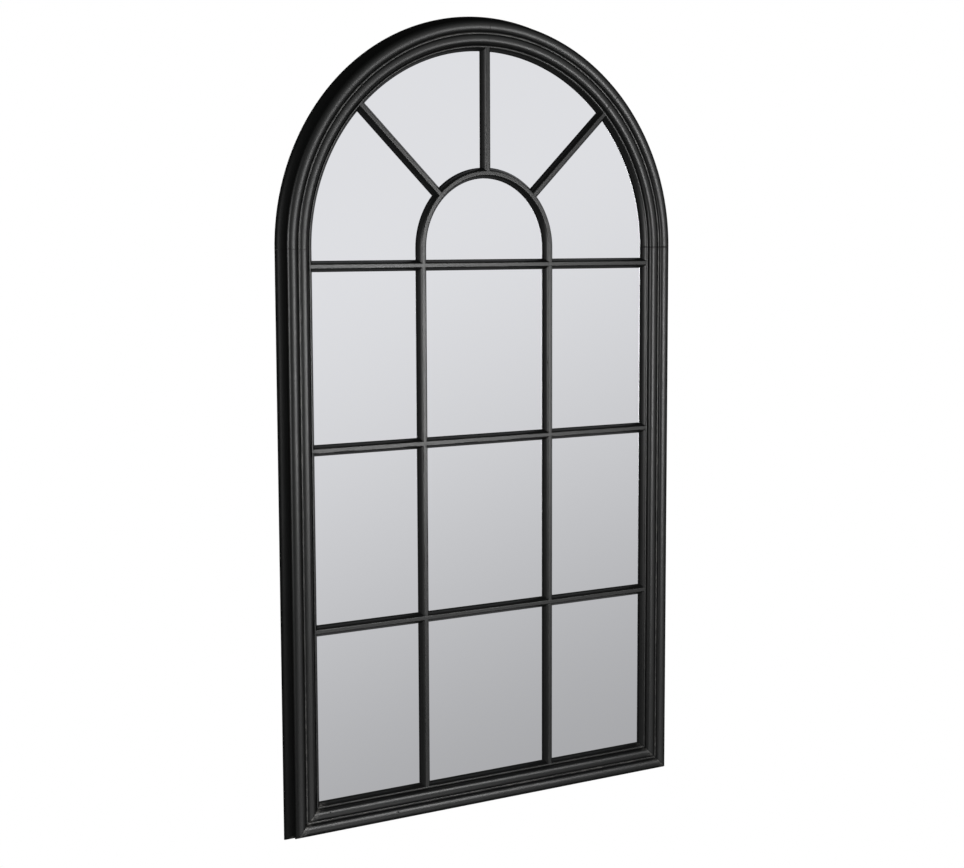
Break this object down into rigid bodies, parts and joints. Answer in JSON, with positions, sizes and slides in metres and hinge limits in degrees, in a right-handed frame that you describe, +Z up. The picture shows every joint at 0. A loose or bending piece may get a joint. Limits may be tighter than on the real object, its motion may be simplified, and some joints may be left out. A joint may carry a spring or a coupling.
{
  "type": "arched window mirror",
  "caption": "Tall wall mirror with a half-round head: a moulded black wooden frame, glazing bars over one mirror plate, a screwed back board and ring hangers.",
  "frame": {"origin": "midway between the bearing points of the two hanging rings when they are turned up, on the plane of the wall that the bumpers rest on", "axes": "+X to the mirror's right as seen from the front, +Y into the wall (the mirror faces -Y), +Z up"},
  "size_m": [0.8, 0.041, 1.4055],
  "materials": {
    "black_paint": "satin black paint over wood, fine grain showing, slightly rubbed on the edges",
    "mirror": "clear silvered plate glass",
    "back_board": "smooth brown hardboard, unpainted",
    "bare_wood": "bare beech",
    "zinc": "zinc-plated steel",
    "rubber": "matt black rubber"
  },
  "bodies": {
    "mirror": {"left_stile": "black_paint", "right_stile": "black_paint", "bottom_rail": "black_paint", "arch_lower_left": "black_paint", "arch_upper_left": "black_paint", "arch_upper_right": "black_paint", "arch_lower_right": "black_paint", "transom_bar": "black_paint", "cross_bar_1": "black_paint", "cross_bar_2": "black_paint", "left_upright_1": "black_paint", "left_upright_2": "black_paint", "left_upright_3": "black_paint", "right_upright_1": "black_paint", "right_upright_2": "black_paint", "right_upright_3": "black_paint", "arc_bar": "black_paint", "left_spoke": "black_paint", "centre_spoke": "black_paint", "right_spoke": "black_paint", "mirror_plate": "mirror", "back_board": "back_board", "board_screw_1": "zinc", "board_screw_2": "zinc", "board_screw_3": "zinc", "board_screw_4": "zinc", "board_screw_5": "zinc", "board_screw_6": "zinc", "board_screw_7": "zinc", "board_screw_8": "zinc", "board_screw_9": "zinc", "board_screw_10": "zinc", "left_spring_spline": "bare_wood", "left_arch_spline": "bare_wood", "crown_spline": "bare_wood", "right_arch_spline": "bare_wood", "right_spring_spline": "bare_wood", "bottom_left_spline": "bare_wood", "bottom_right_spline": "bare_wood", "transom_bar_left_dowel": "bare_wood", "transom_bar_right_dowel": "bare_wood", "cross_bar_1_left_dowel": "bare_wood", "cross_bar_1_right_dowel": "bare_wood", "cross_bar_2_left_dowel": "bare_wood", "cross_bar_2_right_dowel": "bare_wood", "left_upright_dowel": "bare_wood", "right_upright_dowel": "bare_wood", "left_spoke_dowel": "bare_wood", "centre_spoke_dowel": "bare_wood", "right_spoke_dowel": "bare_wood", "left_hanger_strap": "zinc", "right_hanger_strap": "zinc", "left_hanger_screw_1": "zinc", "left_hanger_screw_2": "zinc", "right_hanger_screw_1": "zinc", "right_hanger_screw_2": "zinc", "left_wall_bumper": "rubber", "right_wall_bumper": "rubber"},
    "left_ring": {"left_hanger_ring": "zinc"},
    "right_ring": {"right_hanger_ring": "zinc"}
  },
  "joints": [
    {"name": "left_ring_hinge", "type": "hinge", "parent": "mirror", "child": "left_ring", "pos_m": [-0.3809, -0.003, -0.0175], "axis": [1, 0, 0], "range_deg": [0, 180]},
    {"name": "right_ring_hinge", "type": "hinge", "parent": "mirror", "child": "right_ring", "pos_m": [0.3809, -0.003, -0.0175], "axis": [1, 0, 0], "range_deg": [0, 180]}
  ]
}
